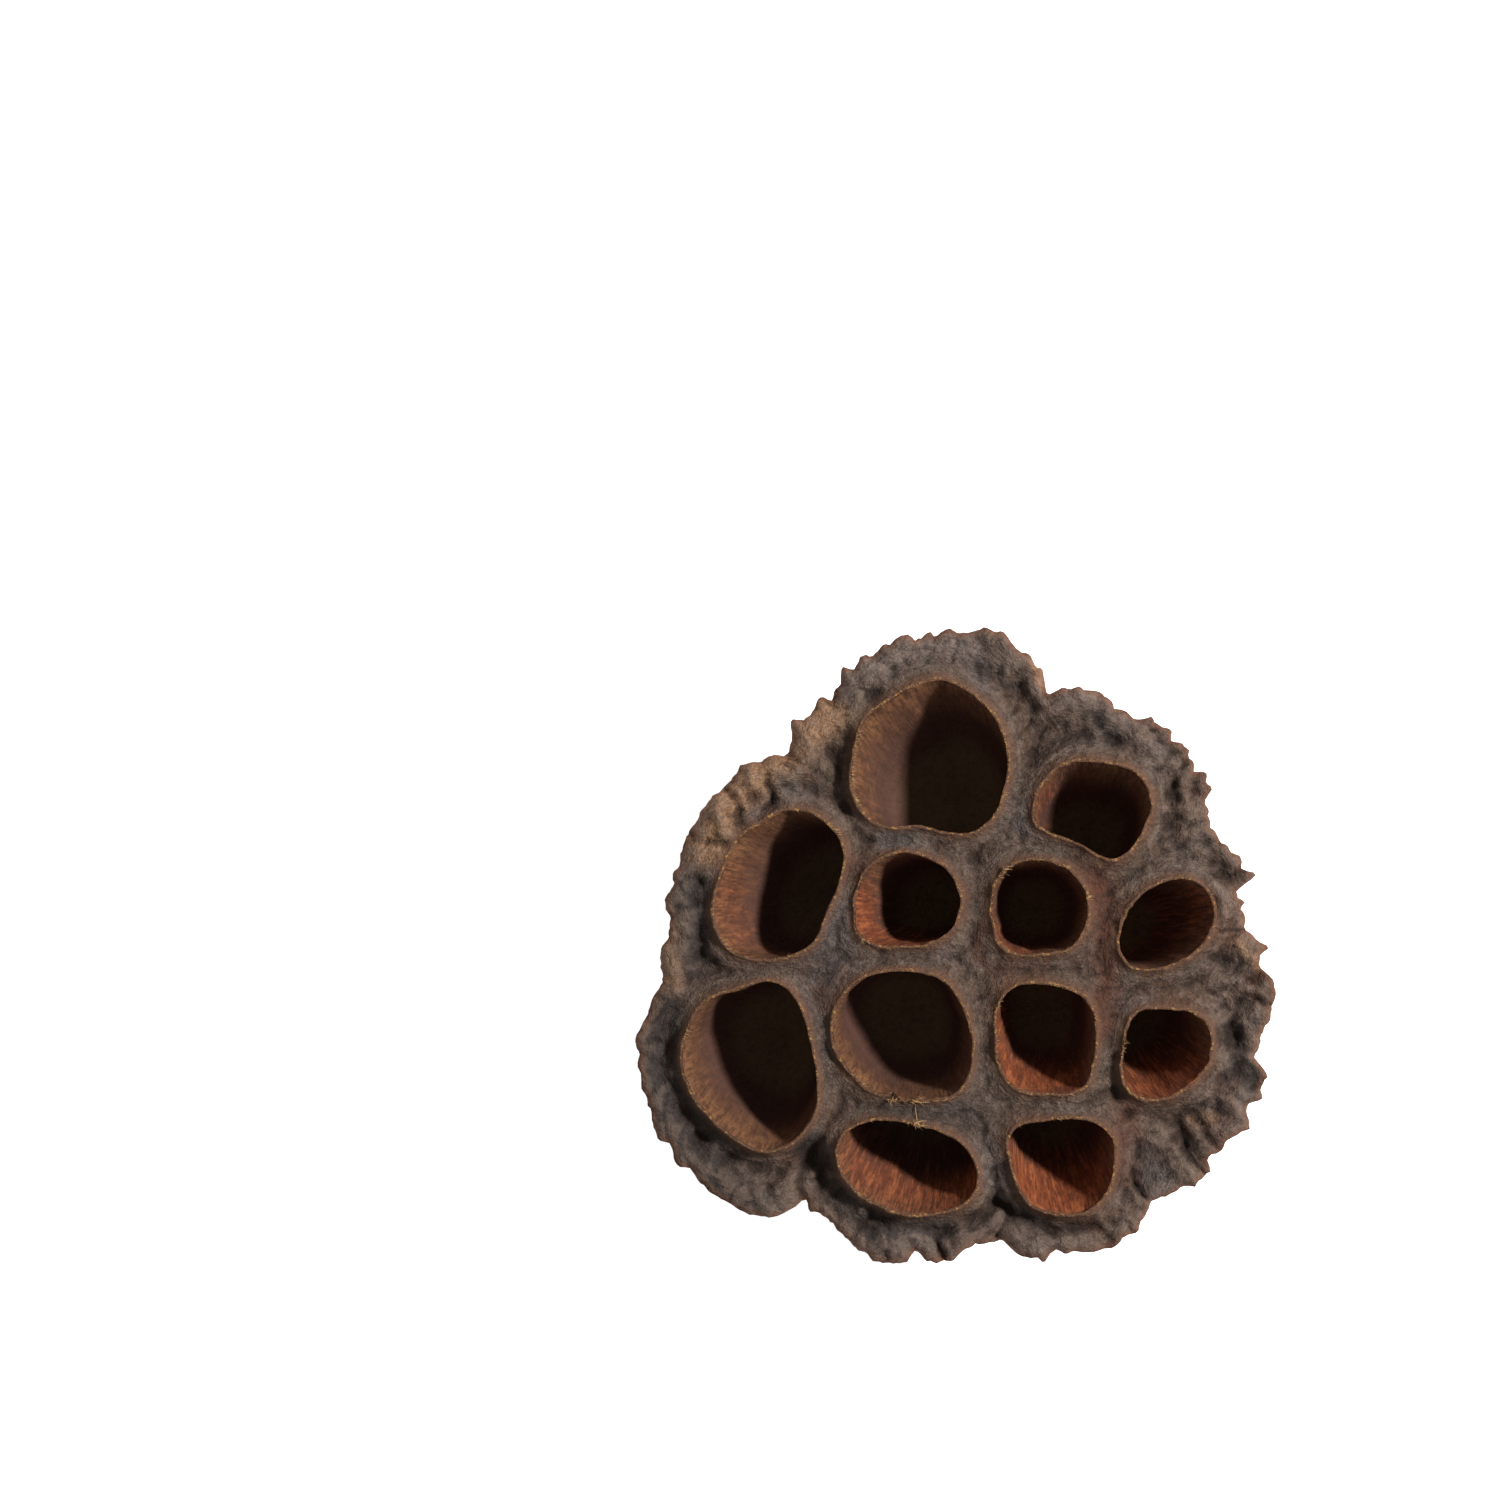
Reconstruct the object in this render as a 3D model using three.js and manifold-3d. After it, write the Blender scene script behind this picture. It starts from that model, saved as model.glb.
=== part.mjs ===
// A dried lotus pod, with its seeds fallen out: one woody, spongy receptacle shaped like a
// shower head. A flat face with twelve open seed cells, each with a thin raised lip, is
// carried on a top-shaped body that narrows to the place where the stalk was cut off.
// It stands face up on that cut.
//
// Millimetres, +Z up out of the face. The origin is the middle of the cut.
import * as THREE from "three";
import { mergeVertices } from "three/addons/utils/BufferGeometryUtils.js";
import Module from "manifold-3d";

// ---- Driving dimensions -------------------------------------------------------------------
const WIDTH = 80; // across the face, the larger way
const HEIGHT = 46; // cut to the highest lip
const CUT_RADIUS = 8; // the flared top of the stalk, where it was cut

const LIP_RISE = 1.4; // a cell's lip above the face beside it
const LIP_WIDTH = 0.9; // the collar around a cell's mouth
const LIP_FOOT = 3; // how far a collar reaches down into the face
const CELL_DEPTH = 18; // lip to floor
const CELL_TAPER = 0.26; // share of its width that a cell loses on the way down
const FLOOR_ROUNDING = 0.3; // share of its depth where a cell closes into its floor
const MOUTH_CLEARANCE = 2; // how far the cut for a cell starts above its lip

const BODY_STEPS = 84; // sides around the body
const CELL_STEPS = 28; // sides around a cell

// The margin seen from above, from the top going clockwise, as a share of WIDTH: only its
// bulges and notches.
const MARGIN = [
  [0.045, 0.497], [0.107, 0.457], [0.148, 0.418], [0.15, 0.4], [0.19, 0.402], [0.24, 0.385],
  [0.262, 0.356], [0.318, 0.346], [0.362, 0.3], [0.392, 0.25], [0.398, 0.19], [0.428, 0.152],
  [0.45, 0.105], [0.437, 0.085], [0.462, 0.02], [0.476, -0.02], [0.493, -0.07], [0.484, -0.12],
  [0.476, -0.15], [0.48, -0.2], [0.457, -0.262], [0.43, -0.305], [0.39, -0.32], [0.395, -0.345],
  [0.355, -0.38], [0.318, -0.395], [0.292, -0.44], [0.235, -0.472], [0.162, -0.478],
  [0.105, -0.486], [0.078, -0.46], [0.044, -0.455], [0.008, -0.475], [-0.025, -0.497],
  [-0.057, -0.482], [-0.1, -0.495], [-0.155, -0.475], [-0.178, -0.44], [-0.237, -0.407],
  [-0.3, -0.427], [-0.375, -0.38], [-0.437, -0.322], [-0.48, -0.237], [-0.493, -0.185],
  [-0.49, -0.125], [-0.457, -0.08], [-0.458, -0.025], [-0.442, 0.02], [-0.444, 0.062],
  [-0.425, 0.15], [-0.395, 0.2], [-0.37, 0.236], [-0.325, 0.278], [-0.275, 0.294],
  [-0.248, 0.33], [-0.225, 0.371], [-0.182, 0.388], [-0.168, 0.425], [-0.122, 0.46],
  [-0.062, 0.485], [-0.018, 0.478],
];

// The twelve cells. mouth is the outline of the lip's inside, from above; lean is how far the
// floor's middle lies from the mouth's middle, because the cells converge on the stalk.
const CELLS = [
  { // top, the widest
    mouth: [
      [-2, 33.5], [1, 32.2], [4, 29.9], [6.1, 26.2], [6.5, 22], [5.3, 17.2], [3, 14.5], [0.8, 13.9],
      [-4, 15.2], [-8.8, 15], [-12.1, 17.6], [-12.8, 22], [-11.4, 28], [-7.8, 31],
    ],
    lean: [4.2, -5],
  },
  { // upper right, with a pointed lower end
    mouth: [
      [17.5, 23], [21.5, 22.2], [23.8, 20.4], [24.5, 17.5], [23.4, 14.2], [20.8, 11], [19.2, 10.9],
      [14.5, 13.4], [11.3, 14.4], [9.9, 16.1], [10.6, 19.4], [12.6, 21.9], [14.8, 23],
    ],
    lean: [0.3, -3.8],
  },
  { // upper left, a long one
    mouth: [
      [-20.3, 17.1], [-17.2, 16.2], [-14.9, 14.3], [-13.7, 11], [-14.6, 7.8], [-16.5, 3.2],
      [-17.6, 0.4], [-20.6, -1.2], [-24, -1.6], [-27.8, -0.7], [-29.7, 2], [-30, 5.6],
      [-28.5, 10.4], [-26.4, 14.2], [-24, 15.2], [-22.3, 16.5],
    ],
    lean: [6.6, -1.6],
  },
  { // middle left, small
    mouth: [
      [-6.5, 11.7], [-3.5, 11], [-1.2, 9.7], [0.3, 7.5], [0.7, 5], [0, 2.8], [-1.3, 1.3], [-4, 0.2],
      [-8, 0], [-10.8, 0.5], [-12.3, 2], [-12.4, 4.8], [-11.5, 8.6], [-9.6, 10.6],
    ],
    lean: [4.2, -0.6],
  },
  { // middle, a rounded square
    mouth: [
      [10.5, 10.7], [14, 9.7], [16, 7.6], [16.7, 4.6], [16.1, 1.8], [14.5, -0.2], [12, -0.8],
      [8, -0.9], [6, -0.1], [5.1, 2], [4.8, 5.2], [5.4, 8.3], [6.6, 9.9], [8.5, 10.5],
    ],
    lean: [0, -0.6],
  },
  { // right, an oval on the slant
    mouth: [
      [28.3, 8.5], [31, 7.5], [32.4, 5.4], [32.2, 2.6], [30.6, -0.2], [27.5, -2.1], [24.8, -2.9],
      [22.3, -2.4], [20.7, -0.6], [20.9, 1.8], [22.4, 5.3], [24.6, 7.2],
    ],
    lean: [-5, -0.9],
  },
  { // lower left, a long one
    mouth: [
      [-23, -4.3], [-20.9, -5.1], [-19.2, -8], [-17.8, -13], [-17.1, -18], [-17.9, -21.8],
      [-20.5, -24.6], [-23.5, -25.7], [-26.6, -24.4], [-31.2, -20.5], [-33.5, -16.5], [-34, -12.8],
      [-32.3, -8.5], [-30.4, -6.5], [-27.2, -5.8], [-25, -4.6],
    ],
    lean: [6.8, 3.6],
  },
  { // middle, the large one
    mouth: [
      [-6.5, -3.2], [-3, -3.6], [-1, -4.6], [1, -7.8], [2.1, -11.2], [2, -15], [0.9, -17.9],
      [-2.2, -19.1], [-6, -19.3], [-9.5, -18.6], [-12.5, -16.1], [-14.7, -13], [-15.1, -9.5],
      [-14, -6.3], [-11.8, -4.3], [-9.5, -3.4],
    ],
    lean: [3.4, 2.4],
  },
  { // right of it, a rounded square
    mouth: [
      [9.5, -4.8], [12.5, -5], [15.5, -6], [17.2, -8.2], [17.6, -11], [17.2, -15], [16.5, -17.3],
      [14.2, -18.5], [10.5, -18.3], [7.4, -17.6], [6, -15.8], [5.3, -11.5], [5.3, -8.5], [6.2, -6],
      [7.3, -5],
    ],
    lean: [0.4, 3.2],
  },
  { // far right, small
    mouth: [
      [25, -7.9], [28.8, -8.2], [31, -9], [32, -11.2], [32, -13.6], [31, -15.7], [28.6, -17.9],
      [26, -19.1], [23.6, -19], [21.5, -17.5], [20.9, -15.8], [21.4, -12.5], [21.9, -9.6],
      [23.2, -8.2],
    ],
    lean: [-3.6, 3.6],
  },
  { // lower middle, a lying oval
    mouth: [
      [-9, -21.9], [-6, -22.1], [-2, -23.2], [0.8, -24.7], [2.5, -27.2], [2.8, -30.2], [1.2, -32.2],
      [-3, -33.4], [-6.6, -33.4], [-10, -32], [-12.8, -30], [-14.3, -27.6], [-14.6, -25.2],
      [-13.4, -23.1], [-11.5, -22.1],
    ],
    lean: [2.6, 6.6],
  },
  { // lower right
    mouth: [
      [14.5, -21.7], [17.6, -22.1], [19.4, -23.3], [20, -26.5], [19.2, -30.4], [17, -32.9],
      [13.7, -33.5], [10.6, -32.8], [8.6, -31], [7.4, -28], [6.7, -24.6], [7.4, -22.9],
      [9.5, -22.2],
    ],
    lean: [-1, 6.6],
  },
];

// The side, from the flared end of the stalk up to the margin, as
// [share of the margin's radius, share of HEIGHT].
const SIDE = [
  [0.26, 0.1], [0.4, 0.174], [0.56, 0.283], [0.7, 0.413], [0.8, 0.565], [0.86, 0.696],
  [0.89, 0.826], // neck under the margin
  [0.94, 0.913], [0.985, 0.943],
  [1, 0.97], // the margin
];
// The face, from the margin in to its middle, as [share of the margin's radius, millimetres
// below the lips].
const FACE = [
  [0.975, 1],
  [0.9, 2.4], // gutter between the margin and the outer cells
  [0.8, 2.2], [0.5, 1.4], [0, 1.4],
];
const FLARE = { height: 2, widening: 1.03 }; // how the stalk's end begins to widen
const ROUND_BELOW = 6; // the section is a circle up to this height,
const LOBED_ABOVE = 30; // and has all the margin's lobes from this height

// ---- Shapes -------------------------------------------------------------------------------
const wasm = await Module();
wasm.setup();

// A smooth closed outline through points, as evenly spaced points.
function smoothLoop(points, steps) {
  const curve = new THREE.CatmullRomCurve3(
    points.map(([x, y]) => new THREE.Vector3(x, y, 0)), true, "centripetal",
  );
  const loop = curve.getSpacedPoints(steps).slice(0, steps);
  return THREE.ShapeUtils.isClockWise(loop) ? loop.reverse() : loop;
}

function middle(loop) {
  const box = new THREE.Box3().setFromPoints(loop);
  return box.getCenter(new THREE.Vector3());
}

// A lathe-turned solid whose rings are then moved: place(step, radius, height) gives the
// point that belongs at that step round the ring.
function reshapedLathe(profile, steps, place) {
  const turned = new THREE.LatheGeometry(
    profile.map(([radius, height]) => new THREE.Vector2(radius, height)), steps,
  );
  const position = turned.getAttribute("position");
  for (let i = 0; i < position.count; i++) {
    const [radius, height] = profile[i % profile.length];
    const step = Math.floor(i / profile.length) % steps;
    const point = place(step, radius, height);
    position.setXYZ(i, point.x, point.y, point.z);
  }
  return solidFrom(turned);
}

// A closed geometry as a solid, turned face out if its rings ran the other way.
function solidFrom(geometry) {
  geometry.deleteAttribute("normal");
  geometry.deleteAttribute("uv");
  const merged = mergeVertices(geometry, 1e-4);
  const build = (triVerts) => new wasm.Manifold(
    new wasm.Mesh({ numProp: 3, vertProperties: merged.attributes.position.array, triVerts }),
  );
  const solid = build(new Uint32Array(merged.index.array));
  return solid.volume() > 0 ? solid : build(new Uint32Array(merged.index.array).reverse());
}

function geometryFrom(solid) {
  const mesh = solid.getMesh();
  const geometry = new THREE.BufferGeometry();
  geometry.setAttribute("position", new THREE.BufferAttribute(mesh.vertProperties, 3));
  geometry.setIndex(new THREE.BufferAttribute(mesh.triVerts, 1));
  geometry.computeVertexNormals();
  return geometry;
}

// ---- The pod ------------------------------------------------------------------------------
function body() {
  const loop = smoothLoop(MARGIN.map(([x, y]) => [x * WIDTH, y * WIDTH]), BODY_STEPS);
  const size = new THREE.Box3().setFromPoints(loop).getSize(new THREE.Vector3());
  const centre = middle(loop);
  loop.forEach((point) => point.sub(centre).multiplyScalar(WIDTH / Math.max(size.x, size.y)));
  const mean = loop.reduce((sum, point) => sum + point.length(), 0) / loop.length;
  const cut = CUT_RADIUS / mean;
  const profile = [
    [0, 0], [cut, 0], [cut * FLARE.widening, FLARE.height],
    ...SIDE.map(([share, height]) => [share, height * HEIGHT]),
    ...FACE.map(([share, drop]) => [share, HEIGHT - drop]),
  ];
  return reshapedLathe(profile, BODY_STEPS, (step, share, height) => {
    const lobed = THREE.MathUtils.smoothstep(height, ROUND_BELOW, LOBED_ABOVE);
    const reach = THREE.MathUtils.lerp(mean, loop[step].length(), lobed);
    return loop[step].clone().setLength(reach * share).setZ(height);
  });
}

// The collar that stands up around a cell's mouth, still filled.
function lip({ mouth }) {
  const loop = smoothLoop(mouth, CELL_STEPS);
  const centre = middle(loop);
  const foot = HEIGHT - LIP_RISE - LIP_FOOT;
  const profile = [[0, foot], [LIP_WIDTH, foot], [LIP_WIDTH, HEIGHT], [0, HEIGHT]];
  return reshapedLathe(profile, CELL_STEPS, (step, past, height) => {
    if (past === 0) return centre.clone().setZ(height);
    const out = loop[step].clone().sub(centre);
    return out.setLength(out.length() + past).add(centre).setZ(height);
  });
}

// The hollow of a cell, as a solid to cut away.
function hollow({ mouth, lean }) {
  const loop = smoothLoop(mouth, CELL_STEPS);
  const centre = middle(loop);
  const wallEnd = 1 - FLOOR_ROUNDING;
  const past = -MOUTH_CLEARANCE / CELL_DEPTH;
  // Each profile point is [share of the cell's width there, share of its depth].
  const floor = [0, 0.45, 0.75, 0.93].map((share) => [
    share, wallEnd + FLOOR_ROUNDING * Math.sqrt(1 - share * share),
  ]);
  const profile = [...floor, [1, wallEnd], [1, wallEnd / 2], [1, 0], [1, past], [0, past]];
  return reshapedLathe(profile, CELL_STEPS, (step, share, depth) => {
    const width = share * (1 - CELL_TAPER * depth);
    const shift = new THREE.Vector3(lean[0], lean[1], 0).multiplyScalar(depth);
    const out = loop[step].clone().sub(centre).multiplyScalar(width);
    return out.add(centre).add(shift).setZ(HEIGHT - depth * CELL_DEPTH);
  });
}

let pod = body();
for (const cell of CELLS) pod = pod.add(lip(cell));
for (const cell of CELLS) pod = pod.subtract(hollow(cell));

const dryHusk = new THREE.MeshStandardMaterial({ color: 0x5b4a42, roughness: 0.9, metalness: 0 });
const lotusPod = new THREE.Mesh(geometryFrom(pod), dryHusk);
lotusPod.name = "lotus_pod";

const assembly = new THREE.Group();
assembly.add(lotusPod);

export default assembly;
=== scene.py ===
"""A dried lotus pod with its seeds fallen out, standing on the cut of its stalk.

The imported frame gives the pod's outline and its twelve cells. This script grows the real surface
over them: a crumpled margin, sunken webs between thin frayed lips, fibrous cell walls, a ribbed
side and the cut stalk. Lengths are millimetres until a mesh is made, and the mesh is in metres.
"""
import math
from functools import partial

import bmesh
import bpy
import numpy as np
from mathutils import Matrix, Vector, noise
from mathutils.geometry import delaunay_2d_cdt
from mathutils.kdtree import KDTree


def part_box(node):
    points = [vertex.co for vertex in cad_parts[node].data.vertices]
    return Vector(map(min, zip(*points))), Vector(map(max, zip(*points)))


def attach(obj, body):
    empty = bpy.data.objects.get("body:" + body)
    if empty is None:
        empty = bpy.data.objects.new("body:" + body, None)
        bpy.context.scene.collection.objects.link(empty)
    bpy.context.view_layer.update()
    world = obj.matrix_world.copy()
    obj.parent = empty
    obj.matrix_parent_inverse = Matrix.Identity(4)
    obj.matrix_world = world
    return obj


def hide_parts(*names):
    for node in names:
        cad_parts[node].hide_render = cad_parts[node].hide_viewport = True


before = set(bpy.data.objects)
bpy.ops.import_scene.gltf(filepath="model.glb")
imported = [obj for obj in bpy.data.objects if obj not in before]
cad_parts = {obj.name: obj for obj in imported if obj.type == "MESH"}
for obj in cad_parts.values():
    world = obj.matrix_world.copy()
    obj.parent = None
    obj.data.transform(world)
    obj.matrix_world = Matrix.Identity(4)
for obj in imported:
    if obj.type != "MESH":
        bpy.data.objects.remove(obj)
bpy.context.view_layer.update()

NODE = "lotus_pod"
MM = 0.001
CAD_LOW, CAD_HIGH = (np.array(corner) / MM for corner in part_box(NODE))
TOP = CAD_HIGH[2]  # the lips
POD_WIDTH = (CAD_HIGH - CAD_LOW)[:2].max()

# ---- Driving dimensions, in millimetres ----
ROUND_STEPS = 600  # points around the margin and the side
CELL_STEPS = 88  # points around a cell
SHEET_SPACING = 0.4  # between points of the face
WEB_DROP = 0.95  # the face's middle, below the lips
WEB_SAG = 0.8  # further down between two lips
GUTTER_DROP = 0.9  # further down between the margin and the outer cells
RIM_RISE = 1.25  # how far the margin turns up again
EDGE_TURN = 0.45  # how far its very edge turns down
FOLD_HEIGHT = 0.95  # the margin's crumpled folds
WRINKLE_HEIGHT = 0.24  # the fine wrinkles that follow the lips
CREASE_DEPTH = 0.75  # the sharp creases between them
CRENULATION = 0.6  # the small bumps of the margin's edge, outward
LIP_EDGE = 0.17  # half the thickness of a lip's frayed edge
COLLAR = 1.6  # how far a lip's flared foot reaches out over the face
LIP_RAGGED = 0.26  # how uneven a lip's height is
CANAL_DEPTH = 1.6  # the open air canals in the cut stalk
EDGE_HEIGHT = 44.6  # the margin's edge, above the cut
FLOOR_DEPTH = 17.6  # where a cell's floor begins, below its lip
CELL_DEPTH = 18  # the floor's middle
# Rings of a cell's wall, below its lip.
WALL_DEPTHS = [0.35, 0.7, 1.1, 1.6, 2.2, 2.9, 3.7, 4.6, 5.6, 6.8, 8, 9.2, 10.4, 11.6, 12.8, 13.8,
               14.7, 15.5, 16.2, 16.8, 17.2]
WORN_SIDE, WORN_SPREAD = 2.45, 0.4  # the direction whose folds stand higher, in radians

# This pod's own hollows, as [middle line in hundredths of the pod's width, half width in
# millimetres, depth in millimetres]. A depth below 0 is a lump.
HOLLOWS = [
    ([(-12, 39), (-18, 30), (-17, 22)], 1.2, 1),  # left of the top cell
    ([(-9.5, 42), (-11, 46)], 0.9, 0.5), ([(4, 48), (9, 46)], 1.2, 0.6),
    ([(10, 42), (10, 39), (12.5, 37)], 0.9, 0.9), ([(23, 35), (25.5, 32)], 1.1, 1.1),
    ([(31, 33), (36, 29)], 1.1, 0.9), ([(37.5, 26), (39, 20)], 0.9, 0.8),
    ([(39, 16), (43, 10.5)], 1.2, 1.2), ([(41, -2), (47.5, -5)], 1, 1),
    ([(43, -14), (45, -19), (47, -22.5)], 1.4, 1.9),  # the deepest crease on the right
    ([(25, -18), (25, -23)], 0.9, 1), ([(27.5, -26), (34.5, -27)], 1.2, 0.9),
    ([(35, -30), (38, -34)], 1.5, 1.4), ([(27.5, -38), (29.5, -43)], 1.4, 1.4),
    ([(22, -43), (24, -46)], 1, 1),
    ([(7, -40.5), (12.5, -43.3), (20, -43.5)], 1.2, 1.9),  # below the lower right cell
    ([(-12.5, -43.3), (-2.5, -43.8), (4, -42)], 1.1, 1.4), ([(-1.6, -44.5), (-2, -48)], 0.7, 0.9),
    ([(-23, -31), (-20, -37.5), (-14.5, -43)], 2, 1.6),  # left of the lower middle cell
    ([(-35, -33), (-27.5, -34.5), (-23, -32.5)], 1.5, 1.2),
    ([(-45, -12.5), (-45.5, -21), (-40, -30)], 2.5, 1.6),  # the gutter around the lower left
    ([(-40, 10), (-39.5, -1.5)], 1.1, 1.1), ([(-31, 23.5), (-28.5, 20.5)], 1.1, 1.2),
    ([(-38, 17), (-36, 22)], 2.2, -0.7),  # the worn lump, and the folds beside it
    ([(-37, 24.5), (-36.4, 18)], 0.8, -0.8), ([(-34.8, 24), (-33.6, 18.5)], 0.7, 1),
    ([(-32.3, 28), (-30, 22.5)], 0.9, -0.9), ([(-29.4, 26.5), (-28.3, 22)], 0.6, 1),
    ([(-40, 16.8), (-35, 16.6)], 0.6, 0.9),
    ([(-24.4, -42), (-23.2, -35)], 0.7, 1.1),  # the fold at the notch
    ([(-25, 30), (-21, 37)], 1.8, -0.5), ([(-45, 2), (-44, -7)], 1.5, -0.5),
]
# Where the skin has its own colour, as [middle line, half width in millimetres, strength]. The last
# list is painted shade in the gutters and creases, not a colour of the skin.
STAINS = {"rust": [
    ([(23, 8), (24, -1), (23, -12)], 2.4, 1), ([(19, 13), (23, 8)], 1.8, 0.6),
    ([(4, 3), (4, -2)], 0.9, 0.8), ([(-19, 16), (-17, 12)], 2.2, 0.7),
    ([(27, -25), (26, -36)], 2.6, 0.9), ([(-24, -3), (-20, -2)], 1.6, 0.5),
    ([(28, 5), (30, 3)], 2, 0.6), ([(-27, -33), (-24, -33)], 1.5, 0.7),
    ([(-46, -9), (-49, -16), (-48, -26)], 0.9, 0.8), ([(3, -46), (8, -45)], 1.2, 0.7),
], "worn": [
    ([(-38, 15), (-36, 22)], 2.4, 1.1), ([(-32, 26), (-20, 36)], 3.2, 1),
    ([(12, 45), (14, 41)], 0.8, 1.2), ([(45, 0), (48, -3)], 1, 0.8), ([(-45, 4), (-44, -6)], 2, 0.6),
    ([(-33, 12), (-31, 17)], 1.6, 0.5), ([(37, -28), (40, -27)], 1.2, 0.5),
], "pale": [
    ([(-15, 42), (-6, 46.5), (3, 46)], 2.6, 0.9), ([(18, 40), (26, 37), (33, 29)], 2.6, 0.55),
    ([(-2, 0), (2, -3), (6, 3)], 2.2, 0.3), ([(36, 13), (40, 8)], 2.4, 0.6),
    ([(-32, -37), (-27, -40)], 2.2, 0.4), ([(-12, -46), (-6, -46)], 1.6, 0.6),
    ([(13, -46.5), (20, -46)], 1.4, 0.7), ([(36, -21), (44, -27)], 2.6, 0.5),
    ([(42, -6), (43, -10)], 2.2, 0.5),
], "gutter_shade": [
    # Painted shade: darker in the gutters and creases and on the lower left flange, where shade falls.
    ([(-45, -12), (-46, -21), (-39, -31)], 3.8, 1.1),
    ([(-23, -31), (-19, -38), (-12, -44)], 2.4, 0.9), ([(-12, -44), (18, -44)], 2, 0.7),
    ([(-9, -25), (4, -26)], 3.2, 0.6), ([(43, -14), (47, -23)], 2.2, 0.8),
    ([(20, 31), (24, 36)], 3, 0.3), ([(33, -33), (38, -31)], 3, 0.5),
    ([(-20, 0), (-19, -8)], 2.2, 0.5), ([(-46, -26), (-41, -36), (-28, -44)], 4, 0.85),
    ([(-41, 9), (-40.5, -3)], 2.2, 0.9),
]}
# Cell walls that dried redder, in the same terms.
EMBER = [
    ([(11, -38), (20, -40)], 6.5, 1.3), ([(-14, -35), (0, -40)], 5, 0.7),
    ([(30, -21), (37, -20)], 3.5, 1.2), ([(7, -12), (9, -20), (18, -21)], 2.2, 1.1),
    ([(-14.5, 7), (-13, 1), (-4, 0)], 2.6, 0.9), ([(28, 1), (38, 6)], 3.5, 0.7),
    ([(6, 2), (12, -2)], 2.5, 0.7), ([(15, 23), (17, 17)], 2.5, 0.5),
    ([(-36, 10), (-33, 2)], 3, 0.35),
]
# Notches torn in the margin's edge, as [place in hundredths of the pod's width, half width and
# depth in millimetres]. A depth below 0 is a tooth.
NOTCHES = [
    ((-24, -41), 0.9, 1.4), ((-5.9, -48), 0.8, 1), ((7.3, -45.6), 1, 1.2), ((15.2, 40.4), 0.8, 0.8),
    ((39.3, -32.6), 0.8, 1.3), ((39.6, -35), 0.6, -0.9), ((45.2, 10.8), 0.6, -1.4),
    ((45, 8.6), 0.6, 0.8), ((47.8, -0.6), 0.5, -1), ((46, -17), 0.6, 0.9), ((-17.3, 42.8), 0.8, -0.6),
    ((-19.6, 39), 0.8, 0.7), ((-25, 34.3), 0.9, -0.8), ((-27.4, 31.1), 0.8, 0.7),
    ((-33, 28), 0.9, -0.6), ((28.4, 33.5), 0.6, -0.8), ((-48.5, -8.5), 0.9, -0.7),
    ((-46.5, -4.5), 0.9, 0.5),
]
# Cells that stand straighter than the frame has them, as [middle in hundredths of the pod's
# width, how far the floor moves in millimetres].
STRAIGHTER = [((-31.5, -18.5), (-2.5, -0.6)), ((-8, -14), (-1.9, -0.2))]
# Where a lip has frayed into tufts, in hundredths of the pod's width.
TUFTS = [(-9.6, -23.8), (-6, -24.4), (-5.8, -28.1), (8, 11.3)]


# ---- The frame's outlines ----
def read(items, name, width, kind=np.float32):
    """One property of a mesh's vertices, edges, corners or faces, a row for each."""
    values = np.empty(len(items) * width, kind)
    items.foreach_get(name, values)
    return values.reshape(-1, width)


def frame_surface():
    """The frame's points, each once, and its triangles."""
    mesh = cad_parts[NODE].data
    mesh.calc_loop_triangles()
    points = read(mesh.vertices, "co", 3).astype(float)
    corners = read(mesh.loop_triangles, "vertices", 3, np.int32)
    unique, same = np.unique(points, axis=0, return_inverse=True)
    return unique / MM, same.reshape(-1)[corners]


POINTS, TRIANGLES = frame_surface()


def level_loops(height):
    """The frame's outlines cut level at a height: solids run anticlockwise, holes clockwise."""
    above = POINTS[:, 2] > height
    cut = above[TRIANGLES].any(1) & ~above[TRIANGLES].all(1)
    place, follow = {}, {}
    for triangle in TRIANGLES[cut]:
        ends = {}
        for a, b in zip(triangle, np.roll(triangle, -1)):
            if above[a] != above[b]:
                key = (min(a, b), max(a, b))
                share = (height - POINTS[a, 2]) / (POINTS[b, 2] - POINTS[a, 2])
                place[key] = POINTS[a, :2] + share * (POINTS[b, :2] - POINTS[a, :2])
                ends[bool(above[b])] = key
        follow[ends[False]] = ends[True]
    loops = []
    while follow:
        start, key = follow.popitem()
        loop = [place[start]]
        while key != start:
            loop.append(place[key])
            key = follow.pop(key)
        loops.append(np.array(loop))
    return loops


def area(loop):
    x, y = loop.T
    return 0.5 * np.sum(x * np.roll(y, -1) - np.roll(x, -1) * y)


def polar(points):
    """Each point's direction from the origin, and its distance."""
    return np.arctan2(points[:, 1], points[:, 0]), np.hypot(*points.T)


def reach(loop, centre, angles):
    """How far a loop lies from a centre in each direction."""
    share = np.linspace(0, 1, 9)[:-1, None]
    near = loop[:, None] - centre
    far = np.roll(loop, -1, axis=0)[:, None] - centre
    fine = (near + (far - near) * share).reshape(-1, 2)
    return np.interp(angles, *polar(fine), period=math.tau)


def smoothed(ring, waves):
    """A closed ring of numbers without its corners: what is finer than so many waves fades."""
    spectrum = np.fft.rfft(ring)
    fade = np.exp(-((np.arange(len(spectrum)) / waves) ** 2))
    return np.fft.irfft(spectrum * fade, len(ring))


def at_level(height, levels, rings):
    """The ring at a height, between those of the two levels around it. Levels go down."""
    return np.array([np.interp(-height, -np.array(levels), column) for column in rings.T])


def directions(steps):
    return np.arange(steps) * math.tau / steps - math.pi


def on_face(places):
    """Places given in hundredths of the pod's width, in millimetres."""
    return np.array(places) * POD_WIDTH / 100


def toward(angles):
    return np.stack([np.cos(angles), np.sin(angles)], -1)


def smoothstep(low, high, x):
    t = np.clip((x - low) / (high - low), 0, 1)
    return t * t * (3 - 2 * t)


def hump(x, width):
    """1 where x is 0, fading to 0 on either side."""
    return np.exp(-((x / width) ** 2))


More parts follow.
